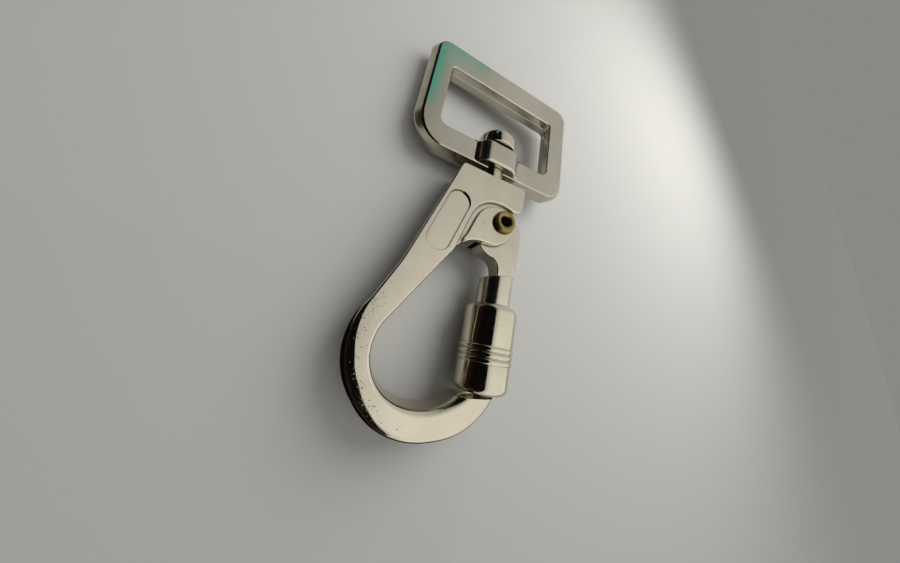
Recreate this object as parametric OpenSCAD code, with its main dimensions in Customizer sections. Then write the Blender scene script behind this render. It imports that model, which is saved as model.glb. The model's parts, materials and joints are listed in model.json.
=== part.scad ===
// Screw gate carabiner with a swivelling strap loop.
// Lies in the XY plane. The origin is the centre of the hook's round seat,
// half way through the thickness. +Y runs along the swivel axis to the loop.

/* [Body] */
// Thickness of the cast body
body_t = 6.3; // [5:0.1:10]
// Width of the block at the swivel end
block_w = 14.5; // [10:0.1:20]
// Height of the block's end face above the seat centre
block_y = 34.8; // [30:0.1:60]
// Sideways distance from the seat centre to the block's middle
block_x = 6.65; // [0:0.1:15]
// Sideways distance from the block's middle to the swivel axis
swivel_side = 0.35; // [-2:0.1:2]
// Radius of the hook's round seat
seat_r = 8.0; // [5:0.1:15]
// Lean of the front edge of the spine from the swivel axis
spine_lean = 30.4; // [29:0.1:32]
// Lean of the back edge of the spine from the swivel axis
back_lean = 16.9; // [16:0.1:18]
// Rounding of the flat faces' edges
edge_r = 0.35; // [0.2:0.05:0.5]

/* [Recess] */
// Centre of the long recess on each face
recess_at = [-1.07, 22.36];
// Length of the recess
recess_len = 13.1; // [6:0.1:20]
// Width of the recess
recess_w = 4.5; // [2:0.1:8]
// Depth of the recess
recess_d = 0.4; // [0.2:0.1:1.5]
// Direction of the recess from the X axis
recess_turn = 73.9; // [45:0.1:90]

/* [Hinge] */
// Position of the hinge rivet
pivot = [9.8, 25.6];
// Diameter of the rivet's tube
rivet_d = 3.6; // [2:0.1:5]
// Diameter of the hole through the rivet
rivet_hole = 2.1; // [1:0.1:3]
// Diameter of the rivet's rolled heads
rivet_head_d = 4.4; // [3:0.1:7]
// Height of each rolled head
rivet_head_h = 1.0; // [0.3:0.1:2]
// Clearance at each side of the gate's flat part in the slot
slot_gap = 0.1; // [0.05:0.01:0.4]
// How far the ears' faces sit below the body's faces
ear_drop = 0.15; // [0:0.05:0.5]
// Depth of the groove round each ear
groove_d = 0.65; // [0.2:0.1:1.2]

/* [Gate] */
// Thickness of the gate's flat part
gate_t = 3.6; // [2.5:0.1:5]
// Diameter of the gate's round stem
stem_d = 6.5; // [4:0.1:10]
// Lean of the gate's axis from the swivel axis
gate_lean = 1.4; // [0:0.1:10]
// Sideways distance from the rivet to the gate's axis
gate_side = 1.97; // [0:0.1:4]
// Height of the stem's shoulder above the seat centre
stem_top = 15.2; // [15:0.1:25]
// Slant of the stem's shoulder
stem_slant = 11; // [0:1:15]
// Height of the stem's lower end above the sleeve's rim
stem_end = 1.2; // [0.2:0.1:4]
// Running clearance at each side of the rivet, sleeve and stud
run_gap = 0.05; // [0.02:0.01:0.1]

/* [Sleeve] */
// Outside diameter of the screw sleeve
sleeve_d = 9.7; // [7:0.1:14]
// Height of the sleeve's lower rim
sleeve_low = -5.3; // [-6:0.05:4]
// Length of the sleeve
sleeve_len = 14.9; // [8:0.1:24]
// Height of the lowest grip bead above the rim
bead_low = 5.25; // [3:0.1:10]
// Pitch of the three grip beads
bead_pitch = 1.0; // [0.8:0.1:2]
// How far each bead stands out
bead_out = 0.2; // [0.1:0.01:0.6]
// Rounding of the sleeve's lower rim
rim_round = 1.3; // [0.3:0.1:1.4]
// How far the sleeve screws down over the nose
lock_travel = 0.6; // [0.3:0.1:2]

/* [Nose] */
// Clearance between the nose's end and the sleeve's rim as the gate swings
nose_gap = 0.12; // [0.05:0.01:0.4]
// Clearance between the sleeve and its seat on the nose
seat_gap = 0.2; // [0.05:0.01:0.3]

/* [Strap loop] */
// Clear width for the strap
strap_w = 26.6; // [15:0.1:50]
// Clear height inside the loop
strap_h = 15.2; // [6:0.1:30]
// Height of the loop's lower inner edge above the block's end face
loop_rise = 7.5; // [5.5:0.1:20]
// Width of the side bars at mid thickness
side_bar = 5.45; // [3:0.05:8]
// Width of the outer bar that carries the strap, at mid thickness
outer_bar = 5.8; // [4:0.1:10]
// Width of the bar that holds the hub, at mid thickness
low_bar = 5.0; // [4:0.1:7]
// How far the slanted outer sides stand out at mid thickness
side_slope = 1.5; // [0.2:0.1:2]
// Height of the hub below the opening
hub_bar = 4.8; // [3:0.1:8]
// Thickness of the loop
loop_t = 3.4; // [2:0.1:8]
// Turn of the loop about the swivel axis
loop_turn = 0.4; // [-180:0.1:180]
// Sideways set of the opening from the hub
hub_side = 0.35; // [-3:0.1:3]
// Half width of the hub
hub_x = 4.9; // [4:0.1:8]
// Fillet between the hub and the bar
hub_fillet = 1.9; // [0.6:0.1:2]
// Rounding of the hub's sides
hub_round = 2.8; // [0.6:0.1:3.4]
// Half thickness of the hub
hub_z = 3.6; // [3:0.1:6]
// How far the hub rises into the opening
hub_rise = 0.2; // [0:0.1:3]

/* [Swivel stud] */
// Diameter of the stud's shank
stud_d = 4.8; // [3:0.1:6]
// Diameter of the stud's round head
stud_head_d = 8.7; // [6:0.1:10]
// Height of the stud's head
stud_head_h = 3.3; // [2.2:0.1:6]
// Rounding of the head's top edge
stud_head_round = 1.3; // [0.3:0.1:1.8]
// Depth of the stud in the block
stud_deep = 4.2; // [3:0.1:6]
// End play of the loop under the stud's head
stud_gap = 0.1; // [0.05:0.01:0.4]

/* [Spring] */
// Wire diameter of the gate spring
spring_wire = 0.5; // [0.3:0.05:0.5]
// Turns of the gate spring
spring_turns = 2; // [1:1:2]

/* [Hidden] */
half_t = body_t / 2;
swivel_x = block_x + swivel_side;
loop_in_y = block_y + loop_rise;
slot_t = gate_t + 2 * slot_gap;
ear_h = half_t - ear_drop;
floor_h = half_t - groove_d;
pivot_x = pivot[0];
pivot_y = pivot[1];
// direction of the gate's axis, pointing down to the nose
axis_x = pivot_x + gate_side;
function on_axis(y) = axis_x - (pivot_y - y) * tan(gate_lean);
bore_d = stem_d + 2 * run_gap;
// the rim's corner farthest from the rivet sets the swing of the nose's end
rim_mid = [on_axis(sleeve_low), sleeve_low];
corner_c = rim_mid + (sleeve_d / 2 - rim_round) * [cos(gate_lean), -sin(gate_lean)]
    + rim_round * [sin(gate_lean), cos(gate_lean)];
swing_r = norm(corner_c - pivot) + rim_round + nose_gap;
lock_low = lock_travel - sleeve_low + seat_gap;
// turn of the nose's flat end, seen from the rivet
nose_turn = -2.2;
silver = [0.74, 0.71, 0.62];
steel = [0.66, 0.65, 0.60];
brass = [0.52, 0.46, 0.25];
wire_tone = [0.45, 0.45, 0.45];

// value at x on a broken line through the pairs in t
function at(t, x) = lookup(x, t);
// point i of the closed outline p
function knot(p, i) = p[(i + len(p)) % len(p)];
function unit(v) = v / norm(v);
// outline p drawn in by c along its own normals (p runs anticlockwise)
function draw_in(p, c) = [
    for (i = [0 : len(p) - 1])
        let (t = unit(knot(p, i + 1) - knot(p, i - 1)))
            p[i] + c * [-t[1], t[0]]
];
function lift(p, z) = [for (q = p) [q[0], q[1], z]];
// faces between m rings of n points, with flat caps
function ring_faces(m, n, cap = []) = concat(
    len(cap) > 0 ? cap : [[for (i = [0 : n - 1]) i]],
    [for (r = [0 : m - 2], i = [0 : n - 1], h = [0, 1]) h == 0
        ? [r * n + i, (r + 1) * n + i, (r + 1) * n + (i + 1) % n]
        : [r * n + i, (r + 1) * n + (i + 1) % n, r * n + (i + 1) % n]],
    len(cap) > 0
        ? [for (t = cap) [for (k = [2 : -1 : 0]) (m - 1) * n + t[k]]]
        : [[for (i = [n - 1 : -1 : 0]) (m - 1) * n + i]]
);

// triangles that fill the closed outline p: corners are cut off one at a time
function twice_area(a, b, c) = (b[0] - a[0]) * (c[1] - a[1]) - (b[1] - a[1]) * (c[0] - a[0]);
function holds(a, b, c, q) = twice_area(a, b, q) >= 0 && twice_area(b, c, q) >= 0
    && twice_area(c, a, q) >= 0;
function is_free(p, ids, i) = let (n = len(ids), ia = ids[(i + n - 1) % n], ib = ids[i],
    ic = ids[(i + 1) % n]) twice_area(p[ia], p[ib], p[ic]) > 0.0001
    && len([for (k = ids) if (k != ia && k != ib && k != ic && holds(p[ia], p[ib], p[ic], p[k])) k]) == 0;
function free_corner(p, ids, i) = i >= len(ids) - 1 || is_free(p, ids, i)
    ? i : free_corner(p, ids, i + 1);
function fill(p, ids, done = []) = len(ids) == 3 ? concat(done, [ids]) :
    let (n = len(ids), i = free_corner(p, ids, 0))
        fill(p, [for (k = [0 : n - 1]) if (k != i) ids[k]],
            concat(done, [[ids[(i + n - 1) % n], ids[i], ids[(i + 1) % n]]]));
function cap_of(p) = fill(p, [for (i = [0 : len(p) - 1]) i]);

// plate of outline p and thickness t with edges rounded by r in n steps
module slab(p, t, r, n = 1) {
    turn = [for (k = [0 : n]) 90 * k / n];
    polyhedron(
        points = concat(
            [for (a = turn, q = lift(draw_in(p, r - r * sin(a)), r - t / 2 - r * cos(a))) q],
            [for (a = turn, q = lift(draw_in(p, r - r * cos(a)), t / 2 - r + r * sin(a))) q]
        ),
        faces = ring_faces(2 * n + 2, len(p), cap_of(draw_in(p, r)))
    );
}

// plate whose edges are rounded by the third value of each point of p, in n steps
module rounded_plate(p, t, n) {
    radii = [for (q = p) q[2]];
    turn = [for (k = [0 : n]) 90 * k / n];
    function ring(a, side) = let (q = [for (i = [0 : len(p) - 1])
        let (d = unit([knot(p, i + 1)[0] - knot(p, i - 1)[0], knot(p, i + 1)[1] - knot(p, i - 1)[1]]),
            c = radii[i] * (1 - cos(a)))
            [p[i][0] - c * d[1], p[i][1] + c * d[0], side * (t / 2 - radii[i] * (1 - sin(a)))]]) q;
    polyhedron(
        points = concat(
            [for (k = [n : -1 : 0], q = ring(turn[k], -1)) q],
            [for (k = [0 : n], q = ring(turn[k], 1)) q]
        ),
        faces = ring_faces(2 * n + 2, len(p), cap_of(ring(90, 1)))
    );
}

// a quarter turn of a corner: centre c, radius r, from angle a in n steps
function corner(c, r, a, n) = [
    for (k = [0 : n]) c + r * [cos(a + 90 * k / n), sin(a + 90 * k / n)]
];

// sides of the block
block_l = block_x - block_w / 2;
block_r = block_x + block_w / 2;
// straight back edge, and the front edge that touches the round seat
function back_x(y) = block_l - (block_y - y) * tan(back_lean);
tangent = 180 - spine_lean;
seat_touch = seat_r * [cos(tangent), sin(tangent)];
function front_x(y) = seat_touch[0] + (y - seat_touch[1]) * tan(spine_lean);
// outer radius, inner radius and edge roundings round the bow, by angle
outer_r = [
    [149, 11.8], [157, 12.05], [165, 12.15], [173, 12.22], [185, 12.32], [235, 12.4], [259, 12.5],
    [270, 12.6], [283, 12.8], [297, 13.25], [309, 13.75], [320, 14.1], [329, 14.25], [334, 14.25]
];
inner_r = [
    [149, seat_r], [160, seat_r + 0.1], [180, seat_r + 0.3], [200, seat_r + 0.42],
    [215, seat_r + 0.45], [235, seat_r + 0.4], [250, seat_r + 0.3], [270, seat_r + 0.25],
    [290, seat_r + 0.32], [305, seat_r + 0.45], [318, seat_r + 0.6], [334, seat_r + 0.9]
];
round_o = [
    [149, edge_r], [163, 1.1], [177, 1.6], [189, 2.0], [213, 2.1], [230, 1.7], [241, 1.3],
    [254, 1.0], [268, 0.9], [300, 1.2], [320, 1.9], [334, 2.1]
];
round_i = [[149, edge_r], [215, 0.5], [268, 1.0], [300, 1.3], [320, 1.8], [334, 1.9]];
// outline of the body with the rounding of its edge: back edge, bow, nose, bow, front edge,
// the line round the ear, the block
body_outline = concat(
    [for (y = [block_y - 0.6, 31, 27, 23, 19, 16, 13.2]) [back_x(y), y, edge_r]],
    [[-8.4, 10.2, edge_r], [-9.35, 8.0, edge_r]],
    [for (a = [150 : 4.5 : 330]) [at(outer_r, a) * cos(a), at(outer_r, a) * sin(a), at(round_o, a)]],
    [[on_axis(-4) + 2.5, -4.4, 2.0], [on_axis(-1) + 2.4, -1, 1.9],
        [on_axis(-1) - 2.4, -1, 1.9], [on_axis(-3) - 2.7, -3, 1.9]],
    [for (a = [327 : -5 : 152]) [at(inner_r, a) * cos(a), at(inner_r, a) * sin(a), at(round_i, a)]],
    [for (y = [5, 7, 10, 13, 15.5, 17.2]) [front_x(y), y, edge_r]],
    [for (q = [[1.12, 17.9], [1.3, 18.8], [1.6, 20.0], [1.95, 21.3], [2.3, 22.5], [2.65, 23.7],
        [3.1, 25.2], [3.5, 26.1], [4.05, 27.0], [4.75, 27.75], [5.6, 28.4], [6.6, 28.85],
        [7.7, 29.1], [9.0, 29.15], [10.3, 29.0], [11.6, 28.75], [12.5, 28.75], [13.2, 29.15],
        [13.65, 29.8]]) [q[0], q[1], edge_r]],
    [[block_r - 0.05, 30.8, edge_r], [block_r, 32, edge_r], [block_r, block_y - 0.5, edge_r],
        [block_r - 0.15, block_y - 0.15, edge_r], [block_r - 0.5, block_y, edge_r],
        [7, block_y, edge_r], [block_l + 0.4, block_y, edge_r],
        [block_l + 0.08, block_y - 0.18, edge_r]]
);

// outline of the ears: the free edge below, the groove's floor and the raised face
ear_low_edge = [
    [2.15, 18.95], [3.2, 19.65], [4.3, 20.15], [5.5, 20.4], [6.9, 20.4], [8.3, 20.5], [9.3, 20.8],
    [10.2, 21.4], [11.0, 22.2], [11.75, 23.3], [12.35, 24.5], [12.65, 25.8], [12.5, 27.1], [12.0, 28.0]
];
ear_face = concat(ear_low_edge, [
    [11.0, 28.35], [9.6, 28.45], [8.2, 28.4], [7.0, 28.1], [5.8, 27.5], [4.8, 26.5], [4.1, 25.2],
    [3.45, 23.3], [2.7, 21.0], [2.1, 19.7]
]);
ear_floor = concat([[0.6, 17.2], [1.25, 18.08]], [for (q = ear_low_edge) q + [-0.04, 0.08]], [
    [11.2, 29.6], [9.0, 30.0], [6.0, 29.6], [3.4, 27.8], [2.2, 25.0], [1.2, 21.5], [0.5, 19.0]
]);

// outline of the gate's flat part: round lug, beak, and the neck into the stem
lug_r = 4.1;
gate_outline = concat(
    [for (a = [24 : 12 : 180]) pivot + lug_r * [cos(a), sin(a)]],
    [[5.65, 24.2], [5.7, 22.4], [5.8, 21.0], [6.05, 20.1], [6.7, 19.4], [7.9, 18.85],
        [9.1, 18.5], [10.0, 17.8], [10.5, 16.7], [10.6, 15.2], [10.8, 14.0],
        [13.6, 14.0], [14.3, 15.4], [14.6, 17.0], [14.78, 19.6], [14.85, 21.6], [14.87, 23.7],
        [14.75, 25.4], [14.35, 26.5]]
);

// frame with its Z axis down the gate's axis, zero at the height of the seat centre
module down_gate() {
    translate([on_axis(0), 0, 0])
        rotate([0, 0, -gate_lean])
            rotate([90, 0, 0])
                children();
}

// swivel frame: Z axis up the swivel axis, zero at the height of the seat centre
module up_swivel(turn) {
    translate([swivel_x, 0, 0])
        rotate([0, turn, 0])
            rotate([-90, 0, 0])
                children();
}

module stadium(r, length, h) {
    linear_extrude(height = h) {
        translate([r - length / 2, 0]) circle(r, $fn = 48);
        translate([length / 2 - r, 0]) circle(r, $fn = 48);
        square([length - 2 * r, 2 * r], center = true);
    }
}

module hook_body() {
    color(silver)
    difference() {
        union() {
            rounded_plate(body_outline, body_t, 3);
            slab(ear_floor, 2 * floor_h, 0.1);
            slab(ear_face, 2 * ear_h, 0.3, 3);
        }
        // room for the sleeve's rim as the gate swings
        translate([pivot_x, pivot_y, 0])
            rotate([0, 0, -nose_turn])
                translate([-10, -swing_r, -body_t])
                    cube([20, 8, 2 * body_t]);
        // seat for the sleeve's rim when it is screwed down
        down_gate()
            rotate_extrude($fn = 64)
                polygon(concat(
                    [[bore_d / 2 - seat_gap, -4], [bore_d / 2 - seat_gap, lock_low]],
                    [for (a = [0 : 15 : 90])
                        [sleeve_d / 2 + seat_gap - rim_round + rim_round * sin(a),
                            lock_low - rim_round + rim_round * cos(a)]],
                    [[sleeve_d / 2 + seat_gap, -4]]
                ));
        // slot for the gate's lug
        translate([pivot_x, pivot_y, -slot_t / 2])
            cylinder(r = lug_r + 0.25, h = slot_t, $fn = 72);
        translate([0, 0, -slot_t / 2])
            linear_extrude(height = slot_t)
                polygon(concat(
                    [for (a = [180 : 8 : 252]) pivot + 7.0 * [cos(a), sin(a)]],
                    [[17, 19], [17, pivot_y + 3], [pivot_x, pivot_y + 3]]
                ));
        // rivet bore
        translate([pivot_x, pivot_y, -half_t - 1])
            cylinder(d = rivet_d, h = body_t + 2, $fn = 48);
        // swivel stud bore
        up_swivel(0)
            translate([0, 0, block_y - stud_deep])
                cylinder(d = stud_d, h = stud_deep + 1, $fn = 48);
        // recesses on both faces
        for (s = [0, 1])
            translate([recess_at[0], recess_at[1], 0])
                rotate([0, 0, recess_turn])
                    mirror([0, 0, s])
                        translate([0, 0, half_t - recess_d])
                            stadium(recess_w / 2, recess_len, recess_d + 1);
    }
}

spring_room = 2.0;
stem_len = stem_top - sleeve_low - stem_end;

module gate() {
    color(silver)
    difference() {
        union() {
            slab(gate_outline, gate_t, 0.3);
            down_gate()
                intersection() {
                    translate([0, 0, -stem_top - 1])
                        rotate_extrude($fn = 64)
                            polygon([
                                [0, 0], [stem_d / 2, 0], [stem_d / 2, stem_len + 0.6],
                                [stem_d / 2 - 0.4, stem_len + 1], [0, stem_len + 1]
                            ]);
                    // slanted shoulder
                    translate([0, 0, -stem_top])
                        rotate([0, stem_slant, 0])
                            translate([-stem_d, -stem_d, 0])
                                cube([2 * stem_d, 2 * stem_d, 3 * stem_d]);
                }
        }
        translate([pivot_x, pivot_y, -gate_t])
            cylinder(d = rivet_d + 2 * run_gap, h = 2 * gate_t, $fn = 48);
        // pocket for the spring's coil
        translate([pivot_x, pivot_y, gate_t / 2 - spring_room])
            cylinder(d = 5.4, h = spring_room + 1, $fn = 48);
        // way out for the spring's fixed leg
        translate([0, 0, gate_t / 2 - spring_room])
            linear_extrude(height = spring_room + 1)
                polygon([pivot, pivot + 6 * [cos(118), sin(118)], pivot + 6 * [cos(150), sin(150)],
                    pivot + 6 * [cos(182), sin(182)]]);
    }
}

module lock_sleeve() {
    bead_z = [for (k = [2 : -1 : 0]) sleeve_len - bead_low - k * bead_pitch];
    r = sleeve_d / 2;
    bead = function (z) [for (a = [0 : 30 : 180])
        [r - 0.05 + bead_out * sin(a) , z - bead_pitch * 0.42 * cos(a)]];
    top_round = [for (a = [0 : 15 : 90]) [r - 1.3 + 1.3 * sin(a), 1.3 - 1.3 * cos(a)]];
    low_round = [for (a = [0 : 15 : 90])
        [r - rim_round + rim_round * cos(a), sleeve_len - rim_round + rim_round * sin(a)]];
    color(steel)
    down_gate()
        translate([0, 0, -sleeve_low - sleeve_len])
            rotate_extrude($fn = 96)
                polygon(concat(
                    [[bore_d / 2, 0.8], [bore_d / 2 + 0.3, 0.7], [bore_d / 2 + 0.3, 0]],
                    top_round,
                    [[r, 4], [r, bead_z[0] - bead_pitch * 0.5]],
                    bead(bead_z[0]), bead(bead_z[1]), bead(bead_z[2]),
                    [[r - 0.02, bead_z[2] + bead_pitch * 0.5]],
                    low_round,
                    [[bore_d / 2, sleeve_len]]
                ));
}

module hinge_rivet() {
    // rolled rim of the tube, seen as a half ring in section
    r0 = rivet_hole / 2;
    r1 = rivet_head_d / 2;
    w = (r1 - r0) / 2;
    e = 0.8 * w;
    rim = [for (a = [0 : 15 : 180])
        [r0 + w + w * cos(a), ear_h + rivet_head_h - e + e * sin(a)]];
    color(brass)
    translate([pivot_x, pivot_y, 0])
        rotate_extrude($fn = 64)
            polygon(concat(
                [[rivet_d / 2, -ear_h], [rivet_d / 2, ear_h], [r1, ear_h]],
                rim,
                [for (k = [len(rim) - 1 : -1 : 0]) [rim[k][0], -rim[k][1]]],
                [[r1, -ear_h]]
            ));
}

module gate_spring() {
    // coil of wire round the rivet in the lug's pocket, with one leg to the slot's wall
    r = 4.9 / 2 - spring_wire / 2;
    z0 = gate_t / 2 - spring_room + spring_wire / 2 + 0.1;
    rise = (spring_room - spring_wire - 0.2) / spring_turns;
    steps = 24;
    s = 8;
    // where the straight leg leaves the coil
    leg_at = 92;
    path = concat(
        [for (k = [0 : spring_turns * steps])
            let (a = leg_at + 360 * k / steps)
                [pivot_x + r * cos(a), pivot_y + r * sin(a), z0 + rise * k / steps]],
        [for (k = [1 : 4])
            [pivot_x + r * cos(leg_at) - 0.85 * k * sin(leg_at),
                pivot_y + r * sin(leg_at) + 0.85 * k * cos(leg_at), z0 + rise * spring_turns]]
    );
    n = len(path);
    dir = [for (k = [0 : n - 1]) unit(path[min(k + 1, n - 1)] - path[max(k - 1, 0)])];
    color(wire_tone)
    polyhedron(
        points = [for (k = [0 : n - 1], i = [0 : s - 1])
            let (u = unit(cross(dir[k], [0, 0, 1])), v = cross(u, dir[k]), a = 360 * i / s)
                path[k] + spring_wire / 2 * (u * cos(a) + v * sin(a))],
        faces = ring_faces(n, s)
    );
}

// outer shape of the loop between two heights, drawn in by c
module loop_layer(c, s, z0, z1) {
    x = strap_w / 2 + side_bar - s;
    y0 = loop_in_y - low_bar;
    y1 = loop_in_y + strap_h + outer_bar;
    for (q = [[-x, y0, 6.5], [x, y0, 5.2], [x, y1, 2.7], [-x, y1, 2.5]])
        translate([q[0] - sign(q[0]) * q[2], q[1] - (q[1] > y0 ? q[2] : -q[2]), z0])
            cylinder(r = q[2] - c, h = z1 - z0, $fn = 32);
}

// outline of the loop's opening
function opening() = let (x = strap_w / 2, y0 = loop_in_y, y1 = loop_in_y + strap_h) concat(
    corner([x - 0.9, y1 - 0.9], 0.9, 0, 4),
    corner([0.9 - x, y1 - 0.9], 0.9, 90, 4),
    corner([1.7 - x, y0 + 1.7], 1.7, 180, 5),
    corner([x - 1.7, y0 + 1.7], 1.7, 270, 5)
);

// cutter for the opening, flared by c at both faces
module loop_opening(c) {
    h = loop_t / 2;
    steps = [[-h - 1, c + 1], [-h, c], [c - h, 0], [h - c, 0], [h, c], [h + 1, c + 1]];
    polyhedron(
        points = [for (k = steps, q = lift(draw_in(opening(), -k[1]), k[0])) q],
        faces = ring_faces(len(steps), len(opening()))
    );
}

// section of the hub: round sides that run into the bar through concave fillets
function hub_quarter() = let (
    c = [hub_x - hub_round, hub_z - hub_round],
    z = loop_t / 2 - 0.1 + hub_fillet,
    s = hub_round + hub_fillet,
    t = asin(min(1, max(0, z - c[1]) / s)),
    x = c[0] + s * cos(t)
) concat(
    [for (k = [0 : 5])
        let (a = 270 - (90 - t) * k / 5)
            [x + hub_fillet * cos(a), z + hub_fillet * sin(a)]],
    [for (k = [1 : 6])
        let (a = t + (90 - t) * k / 6)
            c + hub_round * [cos(a), sin(a)]]
);
function hub_half() = concat(
    hub_quarter(),
    [for (k = [len(hub_quarter()) - 1 : -1 : 0]) [-hub_quarter()[k][0], hub_quarter()[k][1]]]
);
hub_section = concat(hub_half(), [for (q = hub_half()) -q]);

module strap_loop() {
    h = loop_t / 2;
    color(silver)
    translate([swivel_x, 0, 0])
        rotate([0, loop_turn, 0])
            difference() {
                union() {
                    difference() {
                        hull() {
                            loop_layer(0.3, side_slope, -h, h);
                            loop_layer(0.1, side_slope, 0.07 - h, h - 0.07);
                            loop_layer(0, side_slope - 0.08, 0.22 - h, h - 0.22);
                            loop_layer(0, 0.4 * side_slope, -0.47 * h, 0.47 * h);
                            loop_layer(0, 0.13 * side_slope, -0.21 * h, 0.21 * h);
                            loop_layer(0, 0, -0.05 * h, 0.05 * h);
                        }
                        translate([-hub_side, 0, 0])
                            loop_opening(0.25);
                    }
                    // hub round the stud
                    translate([0, hub_low + hub_h / 2, 0])
                        rotate([90, 0, 0])
                            slab(hub_section, hub_h, 0.35, 3);
                }
                rotate([-90, 0, 0])
                    translate([0, 0, block_y])
                        cylinder(d = stud_d + 2 * run_gap, h = hub_h + 12, $fn = 64);
            }
}
hub_low = loop_in_y - hub_bar;
hub_h = hub_bar + hub_rise;

module swivel_stud() {
    r = stud_head_d / 2;
    e = stud_head_round;
    seat = hub_low + hub_h + stud_gap;
    top = seat + stud_head_h;
    color(steel)
    up_swivel(0)
        rotate_extrude($fn = 64)
            polygon(concat(
                [[0, block_y - stud_deep], [stud_d / 2, block_y - stud_deep], [stud_d / 2, seat],
                    [r - 0.2, seat], [r, seat + 0.2]],
                [for (a = [0 : 15 : 90]) [r - e + e * cos(a), top - e + e * sin(a)]],
                [[0, top]]
            ));
}

hook_body();
gate();
lock_sleeve();
hinge_rivet();
gate_spring();
strap_loop();
swivel_stud();
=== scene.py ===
import json
import math

import bmesh
import bpy
import numpy as np
from mathutils import Matrix, Vector

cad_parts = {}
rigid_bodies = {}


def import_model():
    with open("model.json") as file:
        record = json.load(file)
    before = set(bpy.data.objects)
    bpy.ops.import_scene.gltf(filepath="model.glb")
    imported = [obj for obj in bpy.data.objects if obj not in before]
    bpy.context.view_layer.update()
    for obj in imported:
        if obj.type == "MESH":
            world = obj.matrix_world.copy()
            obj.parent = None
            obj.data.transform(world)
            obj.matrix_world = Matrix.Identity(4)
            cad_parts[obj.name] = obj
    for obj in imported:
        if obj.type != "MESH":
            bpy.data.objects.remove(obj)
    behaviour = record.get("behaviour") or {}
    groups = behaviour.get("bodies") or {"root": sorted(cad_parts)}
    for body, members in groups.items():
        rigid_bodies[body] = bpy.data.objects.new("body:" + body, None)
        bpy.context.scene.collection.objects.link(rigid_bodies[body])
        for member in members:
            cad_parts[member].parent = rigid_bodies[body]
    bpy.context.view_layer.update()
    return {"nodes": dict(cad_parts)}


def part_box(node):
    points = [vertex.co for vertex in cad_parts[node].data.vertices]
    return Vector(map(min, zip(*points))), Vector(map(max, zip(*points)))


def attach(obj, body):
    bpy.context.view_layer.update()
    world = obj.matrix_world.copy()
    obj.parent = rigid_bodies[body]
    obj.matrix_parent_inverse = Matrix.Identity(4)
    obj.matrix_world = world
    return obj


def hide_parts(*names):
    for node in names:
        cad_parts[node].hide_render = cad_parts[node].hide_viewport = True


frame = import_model()
sceneRoot = bpy.context.scene.collection
mm = 0.001
print("frame loaded:", len(frame["nodes"]), "nodes")


# Every surface is worked out in millimetres and put down in metres.

# quads between neighbouring rows and columns of a grid, closed round either way if asked
def gridQuads(rows, cols, closeRows=False, closeCols=True):
    r = np.arange(rows if closeRows else rows - 1)[:, None]
    c = np.arange(cols if closeCols else cols - 1)[None, :]
    r2, c2 = (r + 1) % rows, (c + 1) % cols
    quads = np.stack([r * cols + c, r * cols + c2, r2 * cols + c2, r2 * cols + c], axis=-1)
    return quads.reshape(-1, 4).tolist()


# a mesh object from points and faces, turned outwards, smooth except at edges sharper than sharpDeg
def putDown(name, points, faces, sharpDeg=32):
    mesh = bpy.data.meshes.new(name)
    mesh.from_pydata((np.asarray(points, float) * mm).tolist(), [], faces)
    mesh.validate()
    piece = bpy.data.objects.new(name, mesh)
    sceneRoot.objects.link(piece)
    closeSeams(mesh)
    soften(mesh, sharpDeg)
    return piece


# merges doubled points at seams and poles, then turns a shell outwards by the sign of its volume
def closeSeams(mesh):
    work = bmesh.new()
    work.from_mesh(mesh)
    bmesh.ops.remove_doubles(work, verts=work.verts, dist=2e-7)
    bmesh.ops.dissolve_degenerate(work, edges=work.edges, dist=1e-8)
    if work.calc_volume(signed=True) < 0:
        bmesh.ops.reverse_faces(work, faces=work.faces)
    work.to_mesh(mesh)
    work.free()


# smooth shading, broken at edges sharper than the angle
def soften(mesh, sharpDeg):
    mesh.polygons.foreach_set("use_smooth", np.ones(len(mesh.polygons), bool))
    mesh.set_sharp_from_angle(angle=math.radians(sharpDeg))
    mesh.update()


# flat faces keep their own normal, and the roundings blend into them
def weighNormals(piece):
    mod = piece.modifiers.new("evenNormals", "WEIGHTED_NORMAL")
    mod.keep_sharp = True
    mod.weight = 60


# centripetal spline through the closed row of knots: each span is a cubic whose end slopes
# come from the neighbours, walked at about the given step; further columns go along with it
def smoothLoop(knots, step):
    p1 = np.asarray(knots, float)
    p0, p2, p3 = np.roll(p1, 1, 0), np.roll(p1, -1, 0), np.roll(p1, -2, 0)
    t01, t12, t23 = (np.linalg.norm((b - a)[:, :2], axis=1)[:, None] ** 0.5
                     for a, b in ((p0, p1), (p1, p2), (p2, p3)))
    m1 = ((p1 - p0) / t01 - (p2 - p0) / (t01 + t12) + (p2 - p1) / t12) * t12
    m2 = ((p2 - p1) / t12 - (p3 - p1) / (t12 + t23) + (p3 - p2) / t23) * t12
    count = np.maximum(1, np.ceil(np.linalg.norm((p2 - p1)[:, :2], axis=1) / step)).astype(int)
    span = np.repeat(np.arange(len(p1)), count)
    u = ((np.arange(len(span)) - np.repeat(np.cumsum(count) - count, count)) / count[span])[:, None]
    a, b, m, n = p1[span], p2[span], m1[span], m2[span]
    return ((2 * u ** 3 - 3 * u ** 2 + 1) * a + (u ** 3 - 2 * u ** 2 + u) * m
            + (3 * u ** 2 - 2 * u ** 3) * b + (u ** 3 - u ** 2) * n)


# inward unit normals of a closed outline that runs anticlockwise
def inwardNormals(outline):
    along = np.roll(outline, -1, 0) - np.roll(outline, 1, 0)
    along = along / np.linalg.norm(along, axis=1)[:, None]
    return np.stack([-along[:, 1], along[:, 0]], axis=1)


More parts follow.
